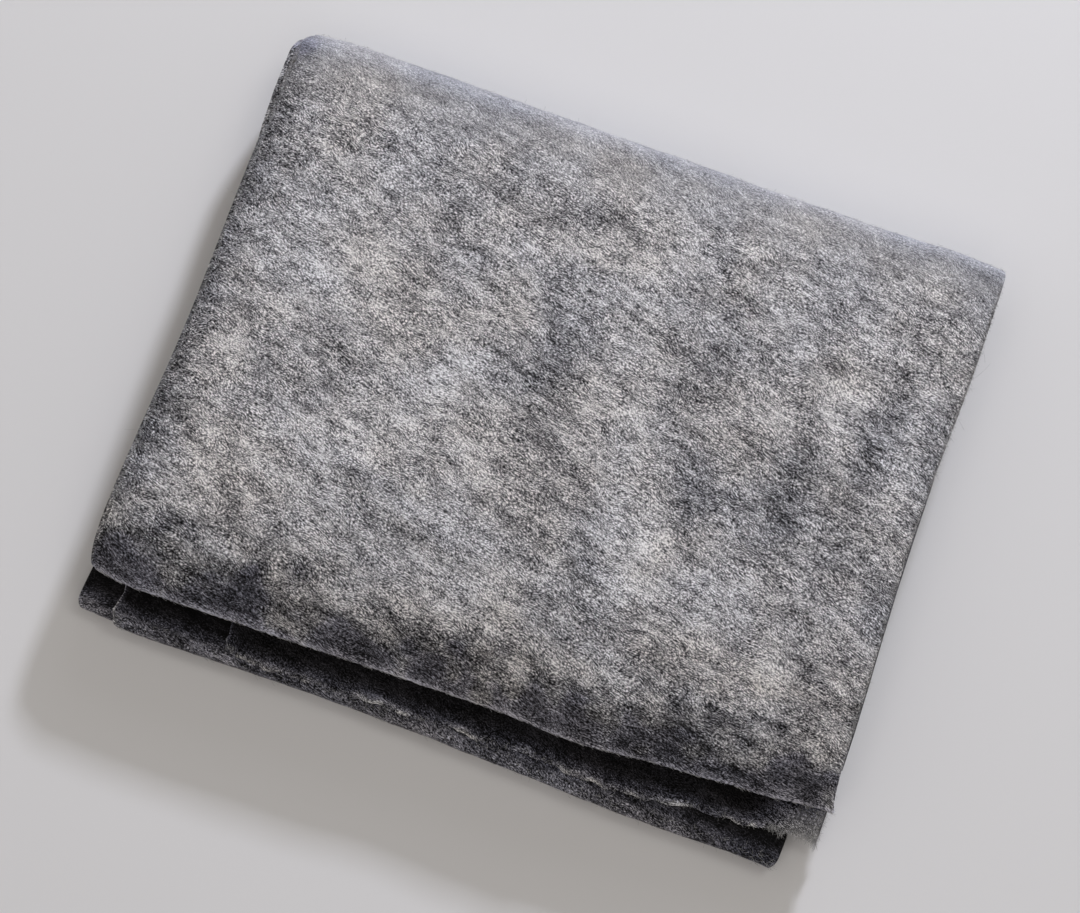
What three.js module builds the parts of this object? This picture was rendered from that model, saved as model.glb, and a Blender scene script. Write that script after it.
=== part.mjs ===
import * as THREE from 'three';

// A length of nonwoven interfacing folded flat into a packet of eight panels.
// Millimetres, +Z up, the front of the packet toward -Y and its long side along X.
// The cloth is one sheet: a section runs back and forth in Y and Z and is carried across the width in X.

// Across its width the cloth already lies in three plies, so one panel of the section is over 2 mm thick.
const sheet = { thick: 2.6, flapThick: 1.2, flapTaper: 26 };
const stack = { pitch: 4.6, backY: 108 };

// Layers count up from the table: the bottom panel, the loose flap that ends the lower half, the top panel.
const layers = { bottom: 1, flap: 4, top: 8 };

// The lower half is turned about the back fold, clockwise from above, so its front sits left and forward.
const skew = THREE.MathUtils.degToRad(2.6);

// The lower nose is a puffed loop; the flap drops onto it once the other cut end has stopped.
const puff = { height: 3, at: 238, length: 18 };
const droop = { height: 6, from: 212, to: 238 };

// The top panel starts to bend down well before its nose.
const roll = { height: 4, from: 150, to: 206 };

// One row for each panel, in the order the cloth runs.
// front: distance from the back fold to the nose or cut end; low: share of the lower half's turn;
// the last four columns are the sheet's side edges at the panel's front and back.
const panels = [
  { name: 'loose flap', layer: 4, heads: 'back', front: 238, low: 0, steps: 12,
    frontLeft: -91, frontRight: 151.5, backLeft: -147, backRight: 149 },
  { name: 'upper half, underside', layer: 5, heads: 'front', front: 200, low: 0, steps: 6,
    frontLeft: -153, frontRight: 151, backLeft: -147, backRight: 149.5 },
  { name: 'top panel', layer: 8, heads: 'back', front: 200, low: 0, steps: 14,
    frontLeft: -150.4, frontRight: 150.4, backLeft: -148.6, backRight: 151.4 },
  { name: 'bottom panel', layer: 1, heads: 'front', front: 238, low: 1, steps: 6,
    frontLeft: -142, frontRight: 149, backLeft: -147, backRight: 148 },
  { name: 'second panel', layer: 2, heads: 'back', front: 238, low: 1, steps: 9,
    frontLeft: -141, frontRight: 150, backLeft: -147, backRight: 148.5 },
  { name: 'seventh panel', layer: 7, heads: 'front', front: 172, low: 0, steps: 6,
    frontLeft: -146, frontRight: 150, backLeft: -151.4, backRight: 149.5 },
  { name: 'sixth panel', layer: 6, heads: 'back', front: 172, low: 0, steps: 6,
    frontLeft: -147, frontRight: 149.5, backLeft: -147, backRight: 149.5 },
  { name: 'inner cut end', layer: 3, heads: 'front', front: 212, low: 1, steps: 9,
    frontLeft: -140, frontRight: 148, backLeft: -147, backRight: 148 },
];

// One row for each fold, in the same order; reach is how far its half round goes past the panels, and a sag
// over 1 hangs its tip nearer to the first of the two. A tuck rounds a corner off in plan; below 0 it flares.
const folds = [
  { name: 'innermost back fold', side: 'back', reach: 1.5, sag: 1, tuckLeft: 0, tuckRight: 0, steps: 6 },
  { name: 'upper nose', side: 'front', reach: 26, sag: 1.8, tuckLeft: 4, tuckRight: -2.5, steps: 12 },
  { name: 'outer back fold', side: 'back', reach: 10.5, sag: 1, tuckLeft: 2, tuckRight: 1, steps: 11 },
  { name: 'lower nose', side: 'front', reach: 3.8, sag: 1, tuckLeft: 3, tuckRight: 1.5, steps: 9 },
  { name: 'second back fold', side: 'back', reach: 7.5, sag: 1, tuckLeft: 0, tuckRight: 0, steps: 9 },
  { name: 'inner nose', side: 'front', reach: 2.3, sag: 1, tuckLeft: 0, tuckRight: 0, steps: 6 },
  { name: 'third back fold', side: 'back', reach: 4.5, sag: 1, tuckLeft: 0, tuckRight: 0, steps: 8 },
];

// Soft troughs across the top, running from front to back; at is the share of the width.
const troughs = [
  { at: 0.48, drop: 0.9, spread: 0.05 },
  { at: 0.70, drop: 0.8, spread: 0.035 },
  { at: 0.85, drop: 0.7, spread: 0.03 },
  { at: 0.945, drop: 0.6, spread: 0.025 },
];

// The edges wander: a row for each bulge, forward in mm on the upper and on the lower half and back on both.
const bulges = [
  { at: 0, upper: -2.4, lower: -1, back: -1, spread: 0.035 },
  { at: 0.02, upper: 1.8, lower: 5.6, back: 1.1, spread: 0.27 },
  { at: 0.36, upper: 0.4, lower: 0, back: 0.2, spread: 0.14 },
  { at: 0.66, upper: 2, lower: 0, back: -0.6, spread: 0.07 },
  { at: 0.82, upper: -0.6, lower: 0.4, back: -0.9, spread: 0.1 },
  { at: 0.98, upper: -3.4, lower: -2.2, back: 0.3, spread: 0.15 },
  { at: 1, upper: -2.4, lower: 0, back: -0.6, spread: 0.05 },
];

// The packet is fuller in the middle and pressed at its sides.
const pillow = { crown: 0.075, pressed: 0.09, sideLength: 7, middle: 110, halfDepth: 130 };

// Halfway along its depth the packet is a little narrower; half is how far that reaches each way.
const waist = { at: 115, half: 80, left: 2.2, right: 1.6 };

// Where along a panel its side edges change from the back pair to the front pair, as shares of its depth,
// and where along the depth the back and front edges start and end to wander.
const edgeChange = { from: 0.08, to: 0.5 };
const wander = { backFrom: 0, backTo: 60, frontFrom: 150, frontTo: 236 };

// Shares of the width at which the section stands.
const columns = [0, 0.015, 0.05, 0.12, 0.22, 0.33, 0.41, 0.48, 0.55, 0.62,
  0.70, 0.775, 0.85, 0.90, 0.945, 0.985, 1];

const smooth = (from, to, value) => THREE.MathUtils.smoothstep(value, from, to);
const mix = THREE.MathUtils.lerp;
const bell = (value, centre, spread) => Math.exp(-(((value - centre) / spread) ** 2));

// Height of a panel's middle surface at a distance from the back fold.
function level(layer, distance) {
  let height = sheet.thick / 2 + (layer - 1) * stack.pitch;
  const puffed = layer > layers.bottom && layer <= layers.flap;
  const bend = Math.max(0, (distance - roll.from) / (roll.to - roll.from));
  if (puffed) height += puff.height * bell(distance, puff.at, puff.length);
  if (layer === layers.flap) height -= droop.height * smooth(droop.from, droop.to, distance);
  if (layer === layers.top) height -= roll.height * bend ** 2;
  return height;
}

// Stations along the section: distance from the back fold, height, turn share and the two side edges.
function sectionStations() {
  const stations = [];
  panels.forEach((panel, index) => {
    const goesBack = panel.heads === 'back';
    const fold = folds[index];
    const next = panels[index + 1];
    for (let step = 0; step <= panel.steps; step += 1) {
      const share = step / panel.steps;
      const distance = panel.front * (goesBack ? 1 - share : share);
      const forward = smooth(edgeChange.from, edgeChange.to, distance / panel.front);
      stations.push({
        distance, height: level(panel.layer, distance), low: panel.low, layer: panel.layer,
        left: mix(panel.backLeft, panel.frontLeft, forward),
        right: mix(panel.backRight, panel.frontRight, forward),
        thick: panel.layer === layers.flap
          ? mix(sheet.thick, sheet.flapThick, smooth(panel.front - sheet.flapTaper, panel.front, distance))
          : sheet.thick,
      });
    }
    if (!fold) return;
    const atBack = fold.side === 'back';
    const base = atBack ? 0 : panel.front;
    const edges = atBack ? ['backLeft', 'backRight'] : ['frontLeft', 'frontRight'];
    for (let step = 1; step < fold.steps; step += 1) {
      const angle = Math.PI * step / fold.steps;
      const share = ((1 - Math.cos(angle)) / 2) ** fold.sag;
      const distance = base + (atBack ? -1 : 1) * fold.reach * Math.sin(angle);
      const rounded = 1 - Math.abs(Math.cos(angle));
      stations.push({
        distance, height: mix(level(panel.layer, distance), level(next.layer, distance), share),
        low: mix(panel.low, next.low, share), layer: 0,
        left: mix(panel[edges[0]], next[edges[0]], share) + fold.tuckLeft * rounded,
        right: mix(panel[edges[1]], next[edges[1]], share) - fold.tuckRight * rounded,
        thick: sheet.thick,
      });
    }
  });
  return stations;
}

// Puts one station of the middle surface in space at a share across the width.
function place(station, across) {
  const slim = Math.max(0, 1 - ((station.distance - waist.at) / waist.half) ** 2) ** 2;
  const left = station.left + waist.left * slim;
  const right = station.right - waist.right * slim;
  const x = mix(left, right, across);
  const along = (station.distance - pillow.middle) / pillow.halfDepth;
  const side = Math.min(across, 1 - across) * (right - left);
  const fullness = pillow.crown * (1 - (2 * across - 1) ** 4) * Math.max(0, 1 - along ** 4)
    - pillow.pressed * Math.exp(-side / pillow.sideLength);
  const above = Math.max(0, station.height - sheet.thick / 2);
  const top = level(layers.top, 0) - sheet.thick / 2;
  let height = station.height + above * fullness;
  const inland = Math.max(0, 1 - along ** 6);
  troughs.forEach((trough) => {
    height -= trough.drop * bell(across, trough.at, trough.spread) * inland * (above / top);
  });
  const atFront = smooth(wander.frontFrom, wander.frontTo, station.distance);
  const atBack = 1 - smooth(wander.backFrom, wander.backTo, station.distance);
  let distance = station.distance;
  bulges.forEach((bulge) => {
    const forward = mix(bulge.upper, bulge.lower, station.low) * atFront - bulge.back * atBack;
    distance += forward * bell(across, bulge.at, bulge.spread);
  });
  const turn = skew * station.low;
  return new THREE.Vector3(
    x * Math.cos(turn) - distance * Math.sin(turn),
    stack.backY - x * Math.sin(turn) - distance * Math.cos(turn),
    height,
  );
}

// The closed sheet: the middle surface moved half its thickness to each side, with rims all round.
function foldedSheet() {
  const stations = sectionStations();
  const rows = stations.length;
  const wide = columns.length;
  const middle = stations.map((station) => columns.map((across) => place(station, across)));
  const positions = [];
  for (const side of [1, -1]) {
    for (let row = 0; row < rows; row += 1) {
      for (let column = 0; column < wide; column += 1) {
        const here = middle[row][column];
        const before = middle[Math.max(0, row - 1)][column];
        const after = middle[Math.min(rows - 1, row + 1)][column];
        const flat = stations[row].layer === layers.bottom;
        const run = after.y - before.y;
        const rise = flat ? 0 : after.z - before.z;
        const length = Math.hypot(run, rise);
        const half = side * stations[row].thick / 2;
        positions.push(here.x, here.y - half * rise / length, here.z + half * run / length);
      }
    }
  }
  const at = (side, row, column) => side * rows * wide + row * wide + column;
  const triangles = [];
  const quad = (a, b, c, d) => triangles.push(a, b, c, a, c, d);
  for (let row = 0; row < rows - 1; row += 1) {
    for (let column = 0; column < wide - 1; column += 1) {
      quad(at(0, row, column), at(0, row, column + 1), at(0, row + 1, column + 1), at(0, row + 1, column));
      quad(at(1, row, column), at(1, row + 1, column), at(1, row + 1, column + 1), at(1, row, column + 1));
    }
    const last = wide - 1;
    quad(at(0, row, 0), at(0, row + 1, 0), at(1, row + 1, 0), at(1, row, 0));
    quad(at(0, row, last), at(1, row, last), at(1, row + 1, last), at(0, row + 1, last));
  }
  for (let column = 0; column < wide - 1; column += 1) {
    const end = rows - 1;
    quad(at(0, 0, column), at(1, 0, column), at(1, 0, column + 1), at(0, 0, column + 1));
    quad(at(0, end, column), at(0, end, column + 1), at(1, end, column + 1), at(1, end, column));
  }
  const geometry = new THREE.BufferGeometry();
  geometry.setAttribute('position', new THREE.Float32BufferAttribute(positions, 3));
  geometry.setIndex(triangles);
  return geometry;
}

const geometry = foldedSheet();
geometry.computeBoundingBox();
const box = geometry.boundingBox;
geometry.translate(-(box.min.x + box.max.x) / 2, -(box.min.y + box.max.y) / 2, -box.min.z);
geometry.computeVertexNormals();

const interfacing = new THREE.MeshStandardMaterial({ color: 0x6d6e72, roughness: 0.95 });
interfacing.name = 'charcoal_interfacing';
const cloth = new THREE.Mesh(geometry, interfacing);
cloth.name = 'folded_interfacing';

const part = new THREE.Group();
part.name = 'folded_interfacing_packet';
part.add(cloth);

export default part;
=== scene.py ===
import bpy
import math
import numpy as np
from mathutils import Matrix


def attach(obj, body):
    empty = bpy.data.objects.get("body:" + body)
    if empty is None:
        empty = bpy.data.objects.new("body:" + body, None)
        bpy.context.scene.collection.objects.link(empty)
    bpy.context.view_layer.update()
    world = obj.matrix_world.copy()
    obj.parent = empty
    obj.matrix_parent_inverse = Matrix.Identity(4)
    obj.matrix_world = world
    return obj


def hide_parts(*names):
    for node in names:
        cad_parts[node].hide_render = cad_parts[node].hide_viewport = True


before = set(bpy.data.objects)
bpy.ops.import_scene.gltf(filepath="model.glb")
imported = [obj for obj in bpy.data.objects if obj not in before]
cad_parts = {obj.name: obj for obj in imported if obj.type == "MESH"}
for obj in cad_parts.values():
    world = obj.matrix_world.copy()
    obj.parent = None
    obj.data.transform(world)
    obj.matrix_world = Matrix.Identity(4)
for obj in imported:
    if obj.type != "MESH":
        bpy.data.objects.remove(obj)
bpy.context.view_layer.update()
mm = 0.001


def smoothStep(low, high, value):  # 0 below low, 1 above high, eased in between
    t = np.clip((value - low) / (high - low), 0, 1)
    return t * t * (3 - 2 * t)


def bell(value, centre, spread):  # 1 at the centre, falling as exp of minus the squared distance
    return np.exp(-((value - centre) / spread) ** 2)


def mix(a, b, share):  # a at share 0, b at share 1
    return a + (b - a) * share


def unit(vectors, least=1e-9):  # each vector divided by its length
    return vectors / np.maximum(np.linalg.norm(vectors, axis=-1, keepdims=True), least)


def softNoise(x, y, size, seed, waves=18, sizes=(0.7, 1.7)):  # sum of slanted sine waves of about one size
    draw = np.random.default_rng(seed)
    angle = draw.uniform(0, math.pi, waves)
    number = 2 * math.pi / (size * draw.uniform(*sizes, waves))
    phase = draw.uniform(0, 2 * math.pi, waves)
    total = np.zeros(np.broadcast(x, y).shape)
    for a, k, p in zip(angle, number, phase):
        total = total + np.sin(k * (x * math.cos(a) + y * math.sin(a)) + p)
    return total / math.sqrt(waves / 2)


def addObject(name, data):  # a new object at the origin, in the scene
    thing = bpy.data.objects.new(name, data)
    bpy.context.collection.objects.link(thing)
    return thing


def standAt(place, sideways, upward, towards):  # the matrix of a thing at a place with these three axes
    axes = np.stack([sideways, upward, towards], 1)
    return Matrix([[*row, at] for row, at in zip(axes, place)] + [[0, 0, 0, 1]])


# the folded packet: the section's sizes in mm, the same as in the solid
packet = {
    "sheetThick": 2.6, "layerPitch": 4.6, "backLine": 115.658, "middleX": -0.164, "skewDeg": 2.6,
    "puffHeight": 3.0, "puffAt": 238.0, "puffLength": 18.0,
    "droopHeight": 6.0, "droopFrom": 212.0, "droopTo": 238.0,
    "rollHeight": 4.0, "rollFrom": 150.0, "rollTo": 206.0,
    "crown": 0.075, "pressed": 0.09, "sideLength": 7.0, "middle": 110.0, "halfDepth": 130.0,
    "waistAt": 115.0, "waistHalf": 80.0, "waist": (2.2, 1.6),
    "edgeFrom": 0.08, "edgeTo": 0.5, "backWander": (0.0, 60.0), "frontWander": (150.0, 236.0),
    "bottomLayer": 1, "flapLayer": 4, "topLayer": 8,
}

# a row for each panel in the order the cloth runs; left and right are its side edges at the front and back,
# fine rows stand within span of the front, plain rows behind them
panels = [
    {"layer": 4, "heads": "back", "front": 238, "low": 0.0, "left": (-91, -147), "right": (151.5, 149),
     "fine": 24, "span": 40, "plain": 8},
    {"layer": 5, "heads": "front", "front": 200, "low": 0.0, "left": (-153, -147), "right": (151, 149.5),
     "fine": 6, "span": 40, "plain": 7},
    {"layer": 8, "heads": "back", "front": 200, "low": 0.0, "left": (-150.4, -148.6), "right": (150.4, 151.4),
     "fine": 14, "span": 30, "plain": 72},
    {"layer": 1, "heads": "front", "front": 238, "low": 1.0, "left": (-142, -147), "right": (149, 148),
     "fine": 4, "span": 30, "plain": 8},
    {"layer": 2, "heads": "back", "front": 238, "low": 1.0, "left": (-141, -147), "right": (150, 148.5),
     "fine": 10, "span": 40, "plain": 8},
    {"layer": 7, "heads": "front", "front": 172, "low": 0.0, "left": (-146, -151.4), "right": (150, 149.5),
     "fine": 4, "span": 40, "plain": 8},
    {"layer": 6, "heads": "back", "front": 172, "low": 0.0, "left": (-147, -147), "right": (149.5, 149.5),
     "fine": 4, "span": 40, "plain": 8},
    {"layer": 3, "heads": "front", "front": 212, "low": 1.0, "left": (-140, -147), "right": (148, 148),
     "fine": 5, "span": 40, "plain": 8},
]

# a row for each fold between them; reach is how far it goes past the panels, sag hangs its tip lower,
# tuck rounds its corners, or flares them below zero
folds = [
    {"name": "innermost back fold", "side": "back", "reach": 1.5, "sag": 1.0, "tuck": (0, 0), "rows": 8},
    {"name": "upper nose", "side": "front", "reach": 26.0, "sag": 1.8, "tuck": (4, -2.5), "rows": 28},
    {"name": "outer back fold", "side": "back", "reach": 10.5, "sag": 1.0, "tuck": (2, 1), "rows": 18},
    {"name": "lower nose", "side": "front", "reach": 3.8, "sag": 1.0, "tuck": (3, 1.5), "rows": 18},
    {"name": "second back fold", "side": "back", "reach": 7.5, "sag": 1.0, "tuck": (0, 0), "rows": 12},
    {"name": "inner nose", "side": "front", "reach": 2.3, "sag": 1.0, "tuck": (0, 0), "rows": 8},
    {"name": "third back fold", "side": "back", "reach": 4.5, "sag": 1.0, "tuck": (0, 0), "rows": 10},
]
foldNumber = {fold["name"]: index for index, fold in enumerate(folds)}

# soft troughs from front to back across the top, and how the front and back edges wander, mm forward and back
troughs = [
    {"at": 0.48, "drop": 0.9, "spread": 0.05},
    {"at": 0.70, "drop": 0.8, "spread": 0.035},
    {"at": 0.85, "drop": 0.7, "spread": 0.03},
    {"at": 0.945, "drop": 0.6, "spread": 0.025},
]
bulges = [
    {"at": 0.0, "upper": -2.4, "lower": -1.0, "back": -1.0, "spread": 0.035},
    {"at": 0.02, "upper": 1.8, "lower": 5.6, "back": 1.1, "spread": 0.27},
    {"at": 0.36, "upper": 0.4, "lower": 0.0, "back": 0.2, "spread": 0.14},
    {"at": 0.66, "upper": 2.0, "lower": 0.0, "back": -0.6, "spread": 0.07},
    {"at": 0.82, "upper": -0.6, "lower": 0.4, "back": -0.9, "spread": 0.10},
    {"at": 0.98, "upper": -3.4, "lower": -2.2, "back": 0.3, "spread": 0.15},
    {"at": 1.0, "upper": -2.4, "lower": 0.0, "back": -0.6, "spread": 0.05},
]


def level(layer, distance):  # height of a panel's middle: its place in the stack plus puff, droop and roll
    p = packet
    height = p["sheetThick"] / 2 + (layer - 1) * p["layerPitch"] + 0 * distance
    if p["bottomLayer"] < layer <= p["flapLayer"]:
        height = height + p["puffHeight"] * bell(distance, p["puffAt"], p["puffLength"])
    if layer == p["flapLayer"]:
        height = height - p["droopHeight"] * smoothStep(p["droopFrom"], p["droopTo"], distance)
    if layer == p["topLayer"]:
        bend = np.maximum(0, (distance - p["rollFrom"]) / (p["rollTo"] - p["rollFrom"]))
        height = height - p["rollHeight"] * bend ** 2
    return height


def sectionRows():  # panels as straight runs and folds as half ellipses, an array each; turn is a fold's share
    names = ("distance", "height", "low", "left", "right", "layer", "fold", "turn")
    rows = {name: [] for name in names}
    for index, panel in enumerate(panels):
        near = np.linspace(0, panel["span"], panel["fine"], endpoint=False)
        far = np.linspace(panel["span"], panel["front"], panel["plain"] + 1)
        distance = panel["front"] - np.concatenate([near, far])
        if panel["heads"] == "front":
            distance = distance[::-1]
        forward = smoothStep(packet["edgeFrom"], packet["edgeTo"], distance / panel["front"])
        same = np.ones_like(distance)
        rows["distance"].append(distance)
        rows["height"].append(level(panel["layer"], distance))
        rows["low"].append(panel["low"] * same)
        for side in ("left", "right"):
            rows[side].append(mix(panel[side][1], panel[side][0], forward))
        rows["layer"].append(panel["layer"] * same)
        rows["fold"].append(-same)
        rows["turn"].append(0 * same)
        if index == len(folds):
            break
        fold, after = folds[index], panels[index + 1]
        atBack = fold["side"] == "back"
        where = 0.0 if atBack else panel["front"]
        angle = np.linspace(0, math.pi, fold["rows"] + 1)[1:-1]
        share = ((1 - np.cos(angle)) / 2) ** fold["sag"]
        rounded = 1 - np.abs(np.cos(angle))
        out = fold["reach"] * np.sin(angle)
        edge = 1 if atBack else 0
        reached = where - out if atBack else where + out
        rows["distance"].append(reached)
        rows["height"].append(mix(level(panel["layer"], reached), level(after["layer"], reached), share))
        rows["low"].append(mix(panel["low"], after["low"], share))
        for side, tuck in (("left", fold["tuck"][0]), ("right", -fold["tuck"][1])):
            rows[side].append(mix(panel[side][edge], after[side][edge], share) + tuck * rounded)
        rows["layer"].append(0 * share)
        rows["fold"].append(index + 0 * share)
        rows["turn"].append(share)
    return {name: np.concatenate(rows[name]) for name in names}


# the middle surface in mm: x between the side edges, height swelled by the crown and dropped in the troughs,
# reach moved by the bulges, and the lower half turned about the back fold
def placeSheet(distance, height, low, left, right, share):
    p = packet
    slim = np.maximum(0, 1 - ((distance - p["waistAt"]) / p["waistHalf"]) ** 2) ** 2
    left, right = left + p["waist"][0] * slim, right - p["waist"][1] * slim
    x = mix(left, right, share)
    along = (distance - p["middle"]) / p["halfDepth"]
    side = np.maximum(np.minimum(share, 1 - share) * (right - left), 0)
    fullness = p["crown"] * (1 - (2 * share - 1) ** 4) * np.maximum(0, 1 - along ** 4)
    fullness = fullness - p["pressed"] * np.exp(-side / p["sideLength"])
    above = np.maximum(0, height - p["sheetThick"] / 2)
    top = float(level(p["topLayer"], 0.0)) - p["sheetThick"] / 2
    z = height + above * fullness
    inland = np.maximum(0, 1 - along ** 6)
    for trough in troughs:
        z = z - trough["drop"] * bell(share, trough["at"], trough["spread"]) * inland * above / top
    atFront = smoothStep(*p["frontWander"], distance)
    atBack = 1 - smoothStep(*p["backWander"], distance)
    reach = distance
    for bulge in bulges:
        forward = mix(bulge["upper"], bulge["lower"], low) * atFront - bulge["back"] * atBack
        reach = reach + forward * bell(share, bulge["at"], bulge["spread"])
    turn = math.radians(p["skewDeg"]) * low
    placedX = p["middleX"] + x * np.cos(turn) - reach * np.sin(turn)
    placedY = p["backLine"] - x * np.sin(turn) - reach * np.cos(turn)
    return placedX, placedY, z


# the cloth across its width: three plies in a Z, the outer one with a cut left edge, folded at right and left
plies = {
    "thick": 0.5, "pitch": 0.85, "outer": 3, "middle": 2, "inner": 1, "innerCut": 4.0,
    "outerColumns": (10, 80), "hiddenColumns": (4, 8),  # columns in each side edge and between the edges
    "edgeSpan": 0.05, "foldColumns": 4,
    "hiddenSink": 0.45, "sinkFrom": 14.0,
    "cutLeft": (1.2, 15.0),  # mm from the left fold to the outer ply's cut edge, on top and at the lower nose
    "cutWander": ((0.35, 2.3, 0), (0.3, 0.9, 1)),  # depth and wave in mm, and shift
    "flapWander": 0.3, "cutLift": 0.35, "cutLength": 3.0,
    "tableTo": 3.0,  # lower than this the outer ply lies plain on the table
    "uneven": ((0.10, 16, 3), (0.05, 7, 4)),  # height and size in mm, and seed
    "unevenRange": (-0.22, 0.4), "unevenTall": 3,
    "clothWidth": 0.9, "clothLength": 1.92,
}
clothLengthMm = plies["clothLength"] / mm

# the loose flap in front: one ply past the other two, ragged at its cut end, its free corner hanging low
flap = {
    "front": panels[0]["front"], "setback": 30.0, "sink": 2.4, "sinkFrom": 211.0, "sinkTo": 236.0,
    "hang": 3.6, "hangX": (126.0, 150.0), "hangFrom": (196.0, 232.0),
    "sheerLength": 24.0, "sheerEnd": 8.0, "sheerX": (116.0, 140.0), "sheerLeast": 0.15, "sheerPale": 0.65,
    "sheerFrom": 0.02,  # share of sheerness from which a face takes the sheer material
    "ragged": ((0.9, 3.1, 7.7), (0.5, 1.3, 19.0), (0.35, 0.47, 5.3)),  # depth, wave, second wave in mm
    "raggedLength": 6.0,
}

# small ridges pressed into the top, from and to in mm from the middle and from the back fold
creases = [
    {"from": (-70, 157), "to": (-18, 178), "width": 4.0, "height": 0.75},
    {"from": (22, 160), "to": (37, 170), "width": 3.5, "height": 0.6},
    {"from": (-118, 92), "to": (-96, 99), "width": 4.5, "height": 0.4},
    {"from": (60, 96), "to": (84, 90), "width": 4.0, "height": 0.4},
]

# streaks on top, darker, or paler below zero, in the same measure
shades = [
    {"from": (-42, 28), "to": (6, 31), "width": 8, "strength": 0.6},
    {"from": (-30, 57), "to": (-16, 62), "width": 10, "strength": 0.7},
    {"from": (-78, 61), "to": (-48, 58), "width": 5, "strength": 0.45},
    {"from": (-78, 30), "to": (-70, 33), "width": 8, "strength": 0.4},
    {"from": (-6, 74), "to": (-4, 116), "width": 9, "strength": 0.9},
    {"from": (2, 118), "to": (33, 168), "width": 7, "strength": 0.65},
    {"from": (33, 168), "to": (62, 192), "width": 7, "strength": 0.6},
    {"from": (48, 78), "to": (64, 123), "width": 9, "strength": 1.05},
    {"from": (66, 123), "to": (72, 150), "width": 8, "strength": 0.75},
    {"from": (78, 82), "to": (92, 80), "width": 6, "strength": 0.45},
    {"from": (97, 84), "to": (99, 128), "width": 8, "strength": 1.0},
    {"from": (124, 42), "to": (127, 172), "width": 8, "strength": 1.1},
    {"from": (127, 172), "to": (135, 205), "width": 9, "strength": 0.8},
    {"from": (140, 122), "to": (142, 146), "width": 7, "strength": 0.5},
    # the next two rows are painted shade along the right and left edges, where the sides slope away from the
    # light
    {"from": (149, 4), "to": (149, 200), "width": 6, "strength": 0.75},
    {"from": (-147, 0), "to": (-148, 190), "width": 8, "strength": 1.9},
    {"from": (-134, 106), "to": (-114, 121), "width": 9, "strength": 0.7},
    {"from": (-112, 186), "to": (-84, 196), "width": 8, "strength": 0.4},
    # painted shade at the front-left corner, part of the nose's shade
    {"from": (-146, 196), "to": (-118, 208), "width": 10, "strength": 0.3},
    {"from": (26, 84), "to": (54, 160), "width": 8, "strength": -0.6},
    {"from": (78, 46), "to": (81, 66), "width": 8, "strength": -0.4},
    {"from": (104, 68), "to": (112, 89), "width": 7, "strength": -0.9},
    {"from": (126, 11), "to": (134, 13), "width": 9, "strength": -0.5},
    {"from": (138, 60), "to": (139, 110), "width": 5, "strength": -0.4},
    {"from": (-75, 80), "to": (-55, 158), "width": 42, "strength": -0.3},
    {"from": (-124, 80), "to": (-116, 96), "width": 10, "strength": -0.4},
    {"from": (90, 177), "to": (120, 184), "width": 9, "strength": -0.4},
]

# painted shade: the nose in mm along the cloth from its lip, the mouth between the noses and the back in mm
# from the back fold; painted light, paler, on the hem by its share of the lower fold and in a band at the lip
paintedShadeZones = {
    "noseFrom": 32.0, "noseTo": 2.0, "noseShade": 3.5, "bandWidth": 4.0, "bandShade": -0.5, "underLip": 2.0,
    "noseClumps": ((28.0, 4.4, 21), (11.0, 3.5, 22)),  # size, shift of the border in mm, and seed
    "mouthBack": (130.0, 170.0), "mouthFront": (227.0, 241.0), "mouthShade": 4.1,
    "sideShade": 1.2, "sideWidth": (1.0, 9.0), "insideShade": 5.0,
    "lowShade": 2.8, "hemTurn": (0.22, 0.22), "hemShade": -1.6, "endFrom": (88.0, 126.0), "endShade": 1.1,
    "backShade": 1.75, "backFrom": (-4.0, 6.0), "veilFrom": (-6.0, 30.0),
}

# pale frayed fibres on the cut edges and the flap's end; on the lip and the hem partly frayed fibres, partly
# painted highlight: how strong, and how wide in mm
fraysAndHighlights = {
    "lip": 1.05, "lipLine": (0.2, 1.1), "hem": 0.35, "lessShade": 0.8,
    "cut": 0.8, "cutWidth": 0.7, "cutStarts": 0.05, "flapSide": 0.6, "endWidth": 1.6,
    "endClumps": ((17, 31, (-0.8, 1.0)), (4, 32, (-1.5, 0.5))),  # size in mm, seed, and where they fade in
    "hemClumps": (9, 33, (-0.6, 1.2)),
}


def streak(x, distance, row):  # a bell across the straight line from one point to another, round at its ends
    (x0, d0), (x1, d1) = row["from"], row["to"]
    length = math.hypot(x1 - x0, d1 - d0)
    share = np.clip(((x - x0) * (x1 - x0) + (distance - d0) * (d1 - d0)) / length ** 2, 0, 1)
    away = np.hypot(x - mix(x0, x1, share), distance - mix(d0, d1, share))
    return bell(away, 0, row["width"])


def plyColumns():  # one row of the cloth from edge to edge: each ply in turn, and half circles for the folds
    p = plies
    spread = []
    for edgeCount, middleCount in (p["outerColumns"], p["hiddenColumns"]):
        edge = p["edgeSpan"] * (np.arange(edgeCount) / edgeCount) ** 2
        middle = np.linspace(p["edgeSpan"], 1 - p["edgeSpan"], middleCount)
        spread.append(np.concatenate([edge, middle, 1 - edge[::-1]]))
    outer, hidden = spread
    angle = np.linspace(0, math.pi, p["foldColumns"] + 2)[1:-1]
    radius = p["pitch"] / 2
    bend, bulge = radius * np.cos(angle), radius * np.sin(angle)
    names = ("share", "offset", "out", "ply")  # share across, offset along the normal, step outwards, ply
    runs = (
        (outer, p["pitch"], 0, p["outer"]),
        (0 * angle + 1, radius + bend, bulge, (p["outer"] + p["middle"]) / 2),
        (hidden[::-1], 0, 0, p["middle"]),
        (0 * angle, bend - radius, -bulge, (p["middle"] + p["inner"]) / 2),
        (hidden, -p["pitch"], 0, p["inner"]),
    )
    wholeRuns = [np.broadcast_arrays(*run) for run in runs]
    return {name: np.concatenate(parts) for name, parts in zip(names, zip(*wholeRuns))}


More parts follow.
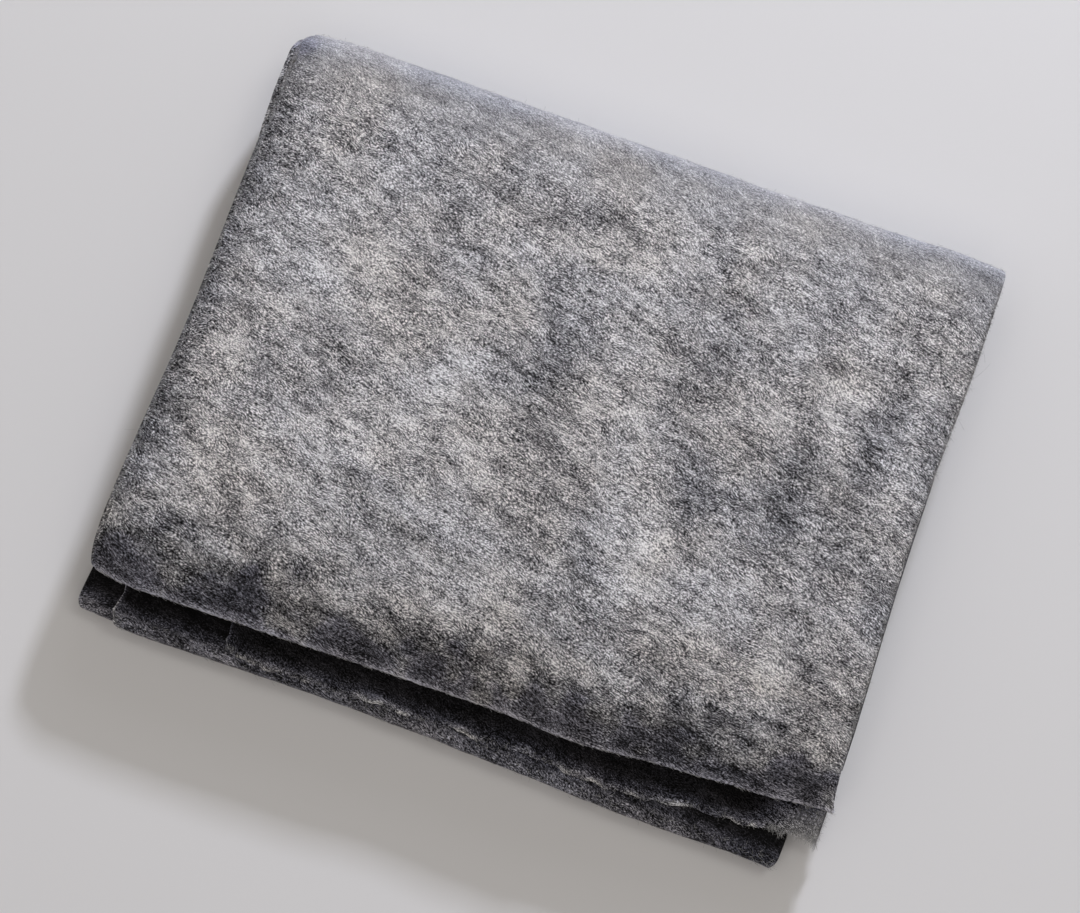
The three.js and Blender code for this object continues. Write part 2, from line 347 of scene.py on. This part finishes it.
def spreadPlies():  # section rows times ply columns, with the outer ply's cut edge and the flap's short plies
    rows, columns = sectionRows(), plyColumns()
    count = (len(rows["distance"]), len(columns["share"]))
    g = {name: np.repeat(value[:, None], count[1], 1) for name, value in rows.items()}
    g.update({name: np.repeat(value[None, :], count[0], 0) for name, value in columns.items()})
    g["step"] = np.cumsum(np.hypot(np.gradient(rows["distance"]), np.gradient(rows["height"])))[:, None]
    g["isOuter"] = g["ply"] == plies["outer"]
    g["onFlap"] = g["layer"] == packet["flapLayer"]

    # the cut edge wanders in from the left fold towards the lower nose
    g["width"] = g["right"] - g["left"]
    g["lowNose"] = smoothStep(0, packet["puffAt"], g["distance"]) * g["low"]
    wander = sum(depth * np.sin(g["step"] / wave + shift) for depth, wave, shift in plies["cutWander"])
    cut = mix(*plies["cutLeft"], g["lowNose"]) + wander
    g["cut"] = np.where(g["onFlap"], plies["flapWander"] * np.sin(g["step"]), cut)
    share = np.where(g["isOuter"], mix(g["cut"] / g["width"], 1, g["share"]), g["share"])
    shortened = share * (1 - plies["innerCut"] / g["width"])
    g["share"] = np.where(g["ply"] == plies["inner"], shortened, share)

    # behind the flap's cut end the other two plies stop short of it
    kept = np.where(g["onFlap"] & ~g["isOuter"], 1 - flap["setback"] / flap["front"], 1)
    g["distance"] = g["distance"] * kept
    g["height"] = np.where(g["onFlap"], level(packet["flapLayer"], g["distance"]), g["height"])
    return g


def placePlies(g):  # the middle surface plus each ply's offset along its normal, in mm, kept in the grid
    distance, isOuter, onFlap = g["distance"], g["isOuter"], g["onFlap"]
    g["loose"] = loose = onFlap & isOuter
    x, y, z = placeSheet(*(g[name] for name in ("distance", "height", "low", "left", "right", "share")))
    g["acrossX"] = x - packet["middleX"]

    # normals in the section's plane from the run along the cloth
    run, rise = np.gradient(y, axis=0), np.gradient(z, axis=0)
    rise = np.where(g["layer"] == packet["bottomLayer"], 0, rise)
    length = np.hypot(run, rise)
    normalY, normalZ = -rise / length, run / length
    g["normal"] = np.stack([0 * x, normalY, normalZ], -1)

    # the flap's single ply and the hidden plies sink; the outer one curls up at its cut edge and is uneven
    g["inside"] = np.minimum(g["share"], 1 - g["share"]) * g["width"]
    g["fromCut"] = g["share"] * g["width"] - g["cut"]
    flapSink = flap["sink"] * smoothStep(flap["sinkFrom"], flap["sinkTo"], distance)
    hiddenSink = plies["hiddenSink"] * smoothStep(0, plies["sinkFrom"], g["inside"])
    offset = g["offset"] - np.where(loose, flapSink, 0) - np.where(isOuter, 0, hiddenSink)
    free = np.where(isOuter & (z > plies["tableTo"]), 1.0, 0.0)
    curl = plies["cutLift"] * np.exp(-np.maximum(g["fromCut"], 0) / plies["cutLength"])
    offset = offset + np.where(onFlap, 0, free * curl * g["lowNose"])
    lieY = y + plies["unevenTall"] * z
    uneven = sum(height * softNoise(x, lieY, size, seed) for height, size, seed in plies["uneven"])
    offset = offset + free * np.clip(uneven, *plies["unevenRange"])
    onTop = isOuter & (g["layer"] == packet["topLayer"])
    for crease in creases:
        offset = offset + np.where(onTop, crease["height"] * streak(g["acrossX"], distance, crease), 0)
    x = x + g["out"]
    y = y + offset * normalY
    z = z + offset * normalZ

    # the flap's free right corner sags towards the table, and its cut end is ragged
    hang = flap["hang"] * smoothStep(*flap["hangX"], x) * smoothStep(*flap["hangFrom"], distance)
    z = z - np.where(loose, hang, 0)
    ragged = sum(depth * np.sin(x / wave) * np.sin(x / second + 1) for depth, wave, second in flap["ragged"])
    atEnd = smoothStep(flap["front"] - flap["raggedLength"], flap["front"], distance)
    y = y + np.where(loose, ragged * atEnd, 0)
    g.update({"x": x, "y": y, "z": z, "points": np.stack([x, y, z], -1)})


def paintClothShade(g):  # painted shade darkens, veil paints a sheen that hides the grain, frayed edges and painted highlights pale, sheer lets light through
    x, y, z, distance, loose = (g[name] for name in ("x", "y", "z", "distance", "loose"))
    onNose, onHem, onBack = (g["fold"] == foldNumber[name]
                             for name in ("upper nose", "lower nose", "outer back fold"))
    upper = (g["layer"] == packet["topLayer"]) | onNose | onBack
    lipRow = np.argmax(np.where(onNose[:, 0], distance[:, 0], 0))
    fromLip = g["step"] - g["step"][lipRow]

    # the top: its streaks, the nose's painted shade with its border shifted by clumps, a painted paler band at
    # the lip and painted shade on the back fold
    clump = sum(shift * softNoise(g["acrossX"], fromLip, size, seed)
                for size, shift, seed in paintedShadeZones["noseClumps"])
    upFromLip = np.maximum(fromLip, 0) + clump
    top = sum(row["strength"] * streak(g["acrossX"], distance, row) for row in shades)
    top = top + paintedShadeZones["noseShade"] * (1 - smoothStep(paintedShadeZones["noseTo"], paintedShadeZones["noseFrom"], upFromLip))
    top = top + paintedShadeZones["bandShade"] * bell(fromLip, 0, paintedShadeZones["bandWidth"])
    top = top + paintedShadeZones["backShade"] * (1 - smoothStep(*paintedShadeZones["backFrom"], distance))
    # painted sheen: paler web with less grain over the back fold, where it is seen at a grazing angle
    veil = np.where(upper, 1 - smoothStep(*paintedShadeZones["veilFrom"], distance), 0)

    # frayed fibres along the lip, the cut edges, the flap's end and the hem, the last two in clumps; on the
    # lip and the hem partly painted highlight where they catch the light
    hem = bell(g["turn"], *paintedShadeZones["hemTurn"]) * onHem
    lip = np.where(onNose, bell(fromLip, *fraysAndHighlights["lipLine"]), 0)
    nearCut = np.where(g["isOuter"], np.exp(-np.abs(g["fromCut"]) / fraysAndHighlights["cutWidth"]), 0)
    cutEdge = np.where(g["onFlap"], fraysAndHighlights["flapSide"], g["lowNose"] > fraysAndHighlights["cutStarts"]) * nearCut
    flapEnd = np.where(loose, np.exp(-(flap["front"] - distance) / fraysAndHighlights["endWidth"]), 0)
    for size, seed, fade in fraysAndHighlights["endClumps"]:
        flapEnd = flapEnd * smoothStep(*fade, softNoise(x, y, size, seed))
    size, seed, fade = fraysAndHighlights["hemClumps"]
    hemLight = hem * smoothStep(*fade, softNoise(x, y + z, size, seed))
    frayAndHighlight = np.clip(fraysAndHighlights["lip"] * lip + fraysAndHighlights["cut"] * cutEdge + flapEnd + fraysAndHighlights["hem"] * hemLight, 0, 1)

    # the single ply of the flap is sheer at its end, most at the free corner
    sheerEnd = smoothStep(flap["front"] - flap["sheerLength"], flap["front"] - flap["sheerEnd"], distance)
    sheer = np.where(loose, sheerEnd, 0) * mix(flap["sheerLeast"], 1.0, smoothStep(*flap["sheerX"], x))

    # below the top, painted shade: the sides, the dark mouth between the noses and the right end; a painted
    # paler hem, where light from the table reaches it
    isHigh = g["layer"] > packet["flapLayer"]
    within = smoothStep(*paintedShadeZones["sideWidth"], g["inside"])
    inMouth = smoothStep(*paintedShadeZones["mouthBack"], distance) * (1 - smoothStep(*paintedShadeZones["mouthFront"], distance))
    low = np.where(isHigh, paintedShadeZones["sideShade"], paintedShadeZones["lowShade"])
    low = low + paintedShadeZones["mouthShade"] * inMouth * np.where(isHigh, within, 1)
    low = low + paintedShadeZones["hemShade"] * hem + paintedShadeZones["endShade"] * smoothStep(*paintedShadeZones["endFrom"], x)
    low = low * (1 - flap["sheerPale"] * sheer) * (1 - fraysAndHighlights["lessShade"] * frayAndHighlight)
    # painted shade on the upper nose's underside, less towards its ends
    underside = np.where(onNose, mix(paintedShadeZones["sideShade"], paintedShadeZones["insideShade"], within), low)
    shade = np.where(upper & (fromLip > -paintedShadeZones["underLip"]), top, underside)
    return np.stack([shade, veil, frayAndHighlight, sheer], -1)


def flatPlaces(g):  # the run across and along the uncut cloth to each point, both as shares of its length
    acrossSteps = np.hypot(*(np.diff(g[name], axis=1, prepend=g[name][:, :1]) for name in ("x", "z")))
    across = np.cumsum(acrossSteps, axis=1).mean(0)
    return np.stack(np.broadcast_arrays(across[None, :], g["step"]), -1) / clothLengthMm


def meshFromGrid(name, points, flat):  # quads between neighbouring grid points, flat places as the UV map
    rowCount, columnCount = points.shape[:2]
    corner = np.arange(rowCount * columnCount).reshape(rowCount, columnCount)
    quads = np.stack([corner[:-1, :-1], corner[:-1, 1:], corner[1:, 1:], corner[1:, :-1]], -1).reshape(-1, 4)
    mesh = bpy.data.meshes.new(name)
    mesh.from_pydata(points.reshape(-1, 3) * mm, [], quads)
    uv = flat.reshape(-1, 2)[quads.reshape(-1)]
    mesh.uv_layers.new(name="flat").data.foreach_set("uv", uv.reshape(-1))
    mesh.polygons.foreach_set("use_smooth", np.ones(len(quads), bool))
    return mesh


def linearColor(text):  # sRGB hex to linear red, green, blue, alpha
    part = [int(text[i:i + 2], 16) / 255 for i in (1, 3, 5)]
    return [c / 12.92 if c <= 0.04045 else ((c + 0.055) / 1.055) ** 2.4 for c in part] + [1.0]


def addNode(tree, kind, settings=None, links=None):  # a node with its settings, ramp stops and incoming links
    node = tree.nodes.new(kind)
    for key, value in (settings or {}).items():
        if key == "stops":
            elements = node.color_ramp.elements
            for position, color in value[2:]:
                elements.new(position)
            for element, (position, color) in zip(elements, value):
                element.position = position
                element.color = linearColor(color)
        elif isinstance(key, str) and hasattr(node, key):
            setattr(node, key, value)
        else:
            node.inputs[key].default_value = value
    for key, (source, socket) in (links or {}).items():
        tree.links.new(source.outputs[socket], node.inputs[key])
    return node


def plainMaterial(name, sockets):  # a principled material with the values that are the same all over it
    material = bpy.data.materials.new(name)
    material.use_nodes = True
    shader = material.node_tree.nodes["Principled BSDF"]
    for socket, value in sockets.items():
        shader.inputs[socket].default_value = value
    return material, shader


# carded polyester web, heat bonded: light and dark fibres lie flat, mostly along the packet's long side,
# and clump into clouds; the eye sees pepper-and-salt grain, dull all over, and paler where the surface turns
# away at the back fold, there as a painted sheen
web = {
    "shader": {"Roughness": 0.95, "Specular IOR Level": 0.2, "Sheen Weight": 0.06, "Sheen Roughness": 0.4},
    "tone": 0.615, "noiseSpread": 0.13, "shadeDepth": 0.115, "shadeMost": 2.0,
    "veilTone": 0.72, "veilMost": 0.62, "frayLight": 0.32,
    "warpSize": (14.0, 14.0), "warpDetail": 1.0, "warpBy": 4.0,
    "bump": 0.5, "bumpDeep": 0.22, "fibreGrains": 3,  # the first grains are fibres, which the bump raises
    "gapFrom": 0.54, "gapTo": 0.36,  # greys at which the sheer ply starts to open and is open
    "greys": [(0.0, "#080809"), (0.25, "#3f3f42"), (0.5, "#7f7f82"), (0.75, "#bebec0"), (1.0, "#fdfdfe")],
    "tintRange": (-1.0, 7.0),  # shades at the two ends of the tints
    # colours laid over the grey by the painted shade: darker and cooler, near black where the mouth's shadow
    # is painted
    "paintedShadeTints": [(0.05, "#fffdfc"), (0.39, "#f5f5f8"), (0.48, "#dddde9"), (0.60, "#9192a0"), (0.80, "#4b4a50"),
              (1.0, "#2a2829")],
    "driftSize": (42.0, 42.0), "driftDetail": 2.0, "drift": [(0.36, "#fffdfb"), (0.64, "#fbfcff")],
}

# a row for each scale of the web, size along and across in mm; weight is its share of full grey;
# single fibres are too fine to show, so they are drawn about a third of a millimetre wide
grains = [
    {"name": "fibres along the packet", "size": (1.25, 0.35), "tiltDeg": -18, "detail": 0, "weight": 0.122},
    {"name": "fibres leaning right", "size": (0.85, 0.34), "tiltDeg": -34, "detail": 0, "weight": 0.112},
    {"name": "fibres leaning left", "size": (0.75, 0.33), "tiltDeg": 8, "detail": 0, "weight": 0.076},
    {"name": "long fibres", "size": (5.0, 0.46), "tiltDeg": -18, "detail": 0, "weight": 0.060},
    {"name": "clumps", "size": (4.5, 1.9), "tiltDeg": -18, "detail": 1, "weight": 0.066},
    {"name": "streaks", "size": (14.0, 2.8), "tiltDeg": -14, "detail": 1, "weight": 0.052},
    {"name": "patches", "size": (17.0, 8.0), "tiltDeg": -24, "detail": 1, "weight": 0.052},
    {"name": "clouds", "size": (34.0, 46.0), "tiltDeg": -12, "detail": 1, "weight": 0.038},
]


def webNoise(tree, place, size, detail, tiltDeg=0):  # soft noise on the flat cloth, its size in mm, turned
    sized = {"vector_type": "TEXTURE", "Rotation": (0, 0, math.radians(tiltDeg)),
             "Scale": (size[0] / clothLengthMm, size[1] / clothLengthMm, 1)}
    mapped = addNode(tree, "ShaderNodeMapping", sized, {"Vector": place})
    plain = {"noise_dimensions": "2D", "Scale": 1.0, "Detail": detail}
    return addNode(tree, "ShaderNodeTexNoise", plain, {"Vector": (mapped, "Vector")})


def webMaterial(name, isSheer):  # grey: the tone plus each grain's noise, less the shade, under veil and fray
    material, shader = plainMaterial(name, web["shader"])
    tree = material.node_tree
    flat = addNode(tree, "ShaderNodeUVMap", {"uv_map": "flat"})
    swirl = webNoise(tree, (flat, "UV"), web["warpSize"], web["warpDetail"])
    warpBy = [web["warpBy"] / clothLengthMm] * 3
    warped = addNode(tree, "ShaderNodeVectorMath", {"operation": "MULTIPLY_ADD", 1: warpBy},
                     {0: (swirl, "Color"), 2: (flat, "UV")})

    # each grain adds its noise, centred, to the tone
    gains = [grain["weight"] / web["noiseSpread"] for grain in grains]
    sums = []
    for grain, gain in zip(grains, gains):
        noise = webNoise(tree, (warped, "Vector"), grain["size"], grain["detail"], grain["tiltDeg"])
        links = {0: (noise, "Fac")}
        if sums:
            links[2] = (sums[-1], "Value")
        settings = {"operation": "MULTIPLY_ADD", 1: gain, 2: web["tone"] - sum(gains) / 2}
        sums.append(addNode(tree, "ShaderNodeMath", settings, links))
    grey, fibres = sums[-1], sums[web["fibreGrains"] - 1]

    # the attribute on the cloth: painted shade in red, painted sheen (veil) in green, frayed edges and painted
    # highlight in blue, sheer in alpha
    tone = addNode(tree, "ShaderNodeAttribute", {"attribute_name": "tone"})
    parts = addNode(tree, "ShaderNodeSeparateColor", {}, {"Color": (tone, "Color")})
    held = addNode(tree, "ShaderNodeMath", {"operation": "MINIMUM", 1: web["shadeMost"]}, {0: (parts, "Red")})
    shaded = addNode(tree, "ShaderNodeMath", {"operation": "MULTIPLY_ADD", 1: -web["shadeDepth"]},
                     {0: (held, "Value"), 2: (grey, "Value")})
    hidden = addNode(tree, "ShaderNodeMath", {"operation": "MULTIPLY", 1: web["veilMost"]},
                     {0: (parts, "Green")})
    veiled = addNode(tree, "ShaderNodeMix", {"data_type": "FLOAT", "B": web["veilTone"]},
                     {"Factor": (hidden, "Value"), "A": (shaded, "Value")})
    frayed = addNode(tree, "ShaderNodeMath", {"operation": "MULTIPLY_ADD", 1: web["frayLight"]},
                     {0: (parts, "Blue"), 2: (veiled, "Result")})

    # grey to colour, cooler and darker with the painted shade, drifting a little from warm to cool over the
    # cloth
    ramp = addNode(tree, "ShaderNodeValToRGB", {"stops": web["greys"]}, {"Fac": (frayed, "Value")})
    tintFrom, tintTo = web["tintRange"]
    depth = addNode(tree, "ShaderNodeMapRange", {"From Min": tintFrom, "From Max": tintTo},
                    {"Value": (parts, "Red")})
    tint = addNode(tree, "ShaderNodeValToRGB", {"stops": web["paintedShadeTints"]}, {"Fac": (depth, "Result")})
    slow = webNoise(tree, (flat, "UV"), web["driftSize"], web["driftDetail"])
    drift = addNode(tree, "ShaderNodeValToRGB", {"stops": web["drift"]}, {"Fac": (slow, "Fac")})
    multiply = {"data_type": "RGBA", "blend_type": "MULTIPLY", "Factor": 1.0}
    tinted = addNode(tree, "ShaderNodeMix", multiply, {"A": (ramp, "Color"), "B": (tint, "Color")})
    drifted = addNode(tree, "ShaderNodeMix", multiply, {"A": (tinted, "Result"), "B": (drift, "Color")})
    tree.links.new(drifted.outputs["Result"], shader.inputs["Base Color"])
    bump = addNode(tree, "ShaderNodeBump", {"Strength": web["bump"], "Distance": web["bumpDeep"] * mm},
                   {"Height": (fibres, "Value")})
    tree.links.new(bump.outputs["Normal"], shader.inputs["Normal"])

    # the sheer ply opens between its fibres
    if isSheer:
        gap = addNode(tree, "ShaderNodeMapRange", {"From Min": web["gapFrom"], "From Max": web["gapTo"]},
                      {"Value": (grey, "Value")})
        lost = addNode(tree, "ShaderNodeMath", {"operation": "MULTIPLY"},
                       {0: (gap, "Result"), 1: (tone, "Alpha")})
        seen = addNode(tree, "ShaderNodeMath", {"operation": "SUBTRACT", "use_clamp": True, 0: 1.0},
                       {1: (lost, "Value")})
        tree.links.new(seen.outputs["Value"], shader.inputs["Alpha"])
    return material


grid = spreadPlies()
placePlies(grid)
# painted shade, painted sheen and highlight, and the flap's sheerness, fixed to the cloth
paintedShadeTones = paintClothShade(grid)
clothMesh = meshFromGrid("folded_cloth", grid["points"], flatPlaces(grid))
toneLayer = clothMesh.attributes.new("tone", "FLOAT_COLOR", "POINT")
toneLayer.data.foreach_set("color", paintedShadeTones.astype(np.float32).reshape(-1))
clothMesh.materials.append(webMaterial("bonded polyester web", False))
clothMesh.materials.append(webMaterial("single sheer ply", True))
isSheerFace = (paintedShadeTones[:-1, :-1, 3] + paintedShadeTones[1:, 1:, 3]) / 2 > flap["sheerFrom"]
clothMesh.polygons.foreach_set("material_index", isSheerFace.astype(np.int32).reshape(-1))
cloth = addObject("folded_cloth", clothMesh)
thicken = cloth.modifiers.new("ply thickness", "SOLIDIFY")
thicken.thickness = plies["thick"] * mm
thicken.offset = 0
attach(cloth, "root")
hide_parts("folded_interfacing")
print("cloth", grid["points"].shape, "points")

# loose fibres: strands that stand off the web at its edges, along the lip and over the top, made thicker
# than real ones so that they show; drawn polyester, clear to smoky, each with one grey and a soft gloss
strands = {
    "radius": 0.045, "stations": (0.3, 0.62, 0.88), "sides": 3, "seed": 11,
    "leanSpread": (1, 1, 0.3), "curl": 0.25, "archSpread": (0.4, 1.2), "nudge": 0.01,
    "shader": {"Roughness": 0.5}, "greys": [(0.0, "#1c1c1f"), (1.0, "#f2f2f4")],
}
outerLast = int(np.count_nonzero(grid["isOuter"][0])) - 1
topRows, flapRows = (np.flatnonzero(grid["layer"][:, 0] == packet[name])
                     for name in ("topLayer", "flapLayer"))
lipRows, backRows, lowRows = (np.flatnonzero(grid["fold"][:, 0] == foldNumber[name])
                              for name in ("upper nose", "outer back fold", "lower nose"))

# where they grow, as ranges of grid rows and columns, and their lean across, along and off the web
tufts = [
    {"name": "flap end", "rows": (flapRows[0], flapRows[0] + 1.5), "columns": (1, outerLast), "count": 520,
     "length": (0.5, 1.9), "lean": (0.0, -1.0, 0.15), "scatter": 0.7, "arch": 0.2, "tone": (0.35, 0.8)},
    {"name": "flap corner", "rows": (flapRows[0], flapRows[12]), "columns": (outerLast - 6, outerLast),
     "count": 300, "length": (0.8, 3.0), "lean": (1.0, -0.3, 0.1), "scatter": 0.6, "arch": 0.2,
     "tone": (0.3, 0.75)},
    {"name": "flap corner fringe", "rows": (flapRows[0], flapRows[0] + 2),
     "columns": (outerLast - 13, outerLast), "count": 320, "length": (0.8, 3.2), "lean": (0.1, -1.0, 0.05),
     "scatter": 0.35, "arch": 0.1, "tone": (0.3, 0.75)},
    {"name": "lip", "rows": (lipRows[9], lipRows[14]), "columns": (1, outerLast), "count": 900,
     "length": (1.0, 2.8), "lean": (1.0, -0.2, 0.1), "scatter": 0.35, "arch": 0.2, "tone": (0.4, 0.85)},
    {"name": "lower nose", "rows": (lowRows[2], lowRows[-1]), "columns": (1, outerLast), "count": 900,
     "length": (0.9, 3.2), "lean": (1.0, 0.2, 0.15), "scatter": 0.6, "arch": 0.3, "tone": (0.3, 0.85)},
    {"name": "left side", "rows": (topRows[0], topRows[-1]), "columns": (0, 2.5), "count": 1100,
     "length": (0.6, 2.2), "lean": (-1.0, 0.0, 0.2), "scatter": 0.9, "arch": 0.2, "tone": (0.1, 0.6)},
    {"name": "right side", "rows": (topRows[0], topRows[-1]), "columns": (outerLast - 2.5, outerLast),
     "count": 1100, "length": (0.6, 2.2), "lean": (1.0, 0.0, 0.2), "scatter": 0.9, "arch": 0.2,
     "tone": (0.1, 0.6)},
    {"name": "back", "rows": (backRows[0], backRows[9]), "columns": (1, outerLast), "count": 260,
     "length": (0.8, 2.4), "lean": (0.8, 0.3, 0.3), "scatter": 0.8, "arch": 0.2, "tone": (0.1, 0.55)},
    {"name": "top", "rows": (topRows[0], topRows[-1]), "columns": (2, outerLast - 2), "count": 2600,
     "length": (1.5, 5.0), "lean": (1.0, -0.15, 0.05), "scatter": 0.45, "arch": 0.35, "tone": (0.3, 1.0)},
    {"name": "hairs", "rows": (topRows[20], topRows[-4]), "columns": (outerLast - 1, outerLast), "count": 6,
     "length": (5.0, 11.0), "lean": (0.7, -0.2, 0.1), "scatter": 1.0, "arch": 1.5, "tone": (0.3, 0.5)},
    {"name": "left hairs", "rows": (topRows[4], topRows[-4]), "columns": (0, 1), "count": 5,
     "length": (4.0, 8.0), "lean": (-0.7, -0.2, 0.1), "scatter": 1.0, "arch": 1.0, "tone": (0.3, 0.5)},
]


def onGrid(values, row, column):  # values between the four grid points around a row and a column
    low = np.minimum(row.astype(int), values.shape[0] - 2)
    left = np.minimum(column.astype(int), values.shape[1] - 2)
    a, b = (row - low)[:, None], (column - left)[:, None]
    near = mix(values[low, left], values[low, left + 1], b)
    return mix(near, mix(values[low + 1, left], values[low + 1, left + 1], b), a)


def strandPoints(draw, tuft):  # root plus lean times length, arched off the web and curled; pointed ends
    count = tuft["count"]
    row, column = draw.uniform(*tuft["rows"], count), draw.uniform(*tuft["columns"], count)
    root = onGrid(grid["points"], row, column)
    normal = unit(onGrid(grid["normal"], row, column))
    acrossWay = unit(onGrid(np.gradient(grid["points"], axis=1), row, column))
    alongWay = unit(onGrid(np.gradient(grid["points"], axis=0), row, column))
    lean = tuft["scatter"] * draw.normal(0, 1, (count, 3)) * strands["leanSpread"] + tuft["lean"]
    heading = unit(lean[:, :1] * acrossWay + lean[:, 1:2] * alongWay + np.abs(lean[:, 2:]) * normal)
    length = draw.uniform(*tuft["length"], count)[:, None]
    curl = draw.normal(0, strands["curl"], (count, 1)) * unit(np.cross(heading, normal))
    arch = tuft["arch"] * draw.uniform(*strands["archSpread"], (count, 1))
    t = np.array([0.0, *strands["stations"], 1.0])[None, :, None]
    way = heading[:, None] * t + curl[:, None] * t ** 2
    lift = plies["thick"] / 2 + arch[:, None] * 4 * t * (1 - t)
    path = root[:, None] + length[:, None] * way + normal[:, None] * lift
    sideA = unit(np.cross(heading, normal + strands["nudge"]))
    sideB = np.cross(heading, sideA)
    turn = np.arange(strands["sides"]) * 2 * math.pi / strands["sides"]
    ring = np.cos(turn)[:, None] * sideA[:, None] + np.sin(turn)[:, None] * sideB[:, None]
    rings = path[:, 1:-1, None] + strands["radius"] * ring[:, None]
    points = np.concatenate([path[:, :1], rings.reshape(count, -1, 3), path[:, -1:]], 1)
    return points, draw.uniform(*tuft["tone"], count)


def strandFaces(count):  # triangles of one strand, cone, sleeves and cone, repeated for all of them
    sides, rings = strands["sides"], len(strands["stations"])
    last = 1 + sides * rings
    faces = []
    for a in range(sides):
        b = (a + 1) % sides
        faces.append((0, 1 + b, 1 + a))
        faces.append((last, last - sides + a, last - sides + b))
        for ring in range(rings - 1):
            low, high = 1 + ring * sides, 1 + (ring + 1) * sides
            faces += [(low + a, low + b, high + b), (low + a, high + b, high + a)]
    return (np.array(faces)[None] + np.arange(count)[:, None, None] * (last + 1)).reshape(-1, 3)


draw = np.random.default_rng(strands["seed"])
grown = [strandPoints(draw, tuft) for tuft in tufts]
strandVerts = np.concatenate([points for points, tone in grown])
strandTone = np.concatenate([tone for points, tone in grown])
strandVerts[..., 2] = np.maximum(strandVerts[..., 2], strands["radius"])
fibreMesh = bpy.data.meshes.new("loose_fibres")
fibreMesh.from_pydata(strandVerts.reshape(-1, 3) * mm, [], strandFaces(len(strandVerts)))
fibreTone = fibreMesh.attributes.new("grey", "FLOAT", "POINT")
fibreTone.data.foreach_set("value", np.repeat(strandTone, strandVerts.shape[1]).astype(np.float32))
fibreCoat, fibreShader = plainMaterial("loose polyester fibre", strands["shader"])
fibreTree = fibreCoat.node_tree
fibreGrey = addNode(fibreTree, "ShaderNodeAttribute", {"attribute_name": "grey"})
fibreRamp = addNode(fibreTree, "ShaderNodeValToRGB", {"stops": strands["greys"]}, {"Fac": (fibreGrey, "Fac")})
fibreTree.links.new(fibreRamp.outputs["Color"], fibreShader.inputs["Base Color"])
fibreMesh.materials.append(fibreCoat)
fibres = addObject("loose_fibres", fibreMesh)
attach(fibres, "root")
print("loose fibres", len(strandVerts), "strands")

# pale table of matt laminate
table = {"size": 4.0, "color": "#e4e3e4", "roughness": 0.7, "specular": 0.25}
half = table["size"] / 2
tableCorners = [(-half, -half, 0), (half, -half, 0), (half, half, 0), (-half, half, 0)]
tableMesh = bpy.data.meshes.new("table")
tableMesh.from_pydata(tableCorners, [], [(0, 1, 2, 3)])
tableCoat, tableShader = plainMaterial("matt pale laminate", {
    "Base Color": linearColor(table["color"]), "Roughness": table["roughness"],
    "Specular IOR Level": table["specular"],
})
tableMesh.materials.append(tableCoat)
addObject("table", tableMesh)

# camera: in front and a little to the right of the packet, looking down steeply;
# aim is the point looked at, in mm to the left of the middle and towards the viewer
viewpoint = {
    "yawDeg": 19.45, "elevationDeg": 74.3, "distance": 1.2055, "aim": (2.565, 3.743),
    "focalPixels": 3000.0, "imageWidth": 1080, "sensor": 36.0, "clipEnd": 20.0,
}
yaw, tilt = math.radians(viewpoint["yawDeg"]), math.radians(viewpoint["elevationDeg"])
rightward = np.array([math.cos(yaw), math.sin(yaw), 0])
nearward = np.array([math.sin(yaw), -math.cos(yaw), 0])
backward = math.cos(tilt) * nearward + math.sin(tilt) * np.array([0, 0, 1])
aimLeft, aimNear = (a * mm for a in viewpoint["aim"])
aim = aimNear * nearward - aimLeft * rightward
lens = bpy.data.cameras.new("viewpoint")
lens.sensor_width = viewpoint["sensor"]
lens.lens = viewpoint["focalPixels"] / viewpoint["imageWidth"] * viewpoint["sensor"]
lens.clip_end = viewpoint["clipEnd"]
camera = addObject("viewpoint", lens)
cameraPlace = aim + backward * viewpoint["distance"]
camera.matrix_world = standAt(cameraPlace, rightward, np.cross(backward, rightward), backward)
bpy.context.scene.camera = camera

# a small window behind the packet, the soft glow round it, and what the room gives back
lamps = [
    {"name": "window", "place": (0.19, 2.05, 0.80), "size": (0.19, 0.14), "power": 42.0, "color": "#eff3ff"},
    {"name": "window glow", "place": (0.48, 5.46, 2.44), "size": (3.6, 1.6), "power": 34.0,
     "color": "#f5f9ff"},
    {"name": "right corner", "place": (2.0, 2.0, 4.2), "size": (2.0, 2.0), "power": 25.0, "color": "#fffdf9"},
    {"name": "room in front", "place": (0.0, -2.6, 4.2), "size": (4.0, 2.5), "power": 38.0,
     "color": "#fff8f4"},
]
for lamp in lamps:
    glow = bpy.data.lights.new(lamp["name"], "AREA")
    glow.shape = "RECTANGLE"
    glow.size, glow.size_y = lamp["size"]
    glow.energy = lamp["power"]
    glow.color = linearColor(lamp["color"])[:3]
    holder = addObject(lamp["name"], glow)
    holder.visible_camera = False
    away = unit(np.array(lamp["place"]))  # a lamp shines against its third axis, so that one points away
    sideways = unit(np.cross([0, 0, 1], away))
    holder.matrix_world = standAt(lamp["place"], sideways, np.cross(away, sideways), away)
roomLight = {"color": "#fffaf2", "strength": 0.28}
world = bpy.context.scene.world or bpy.data.worlds.new("room")
bpy.context.scene.world = world
world.use_nodes = True
background = world.node_tree.nodes["Background"]
background.inputs["Color"].default_value = linearColor(roomLight["color"])
background.inputs["Strength"].default_value = roomLight["strength"]
bpy.context.scene.view_settings.view_transform = "Standard"
print("camera and light set")
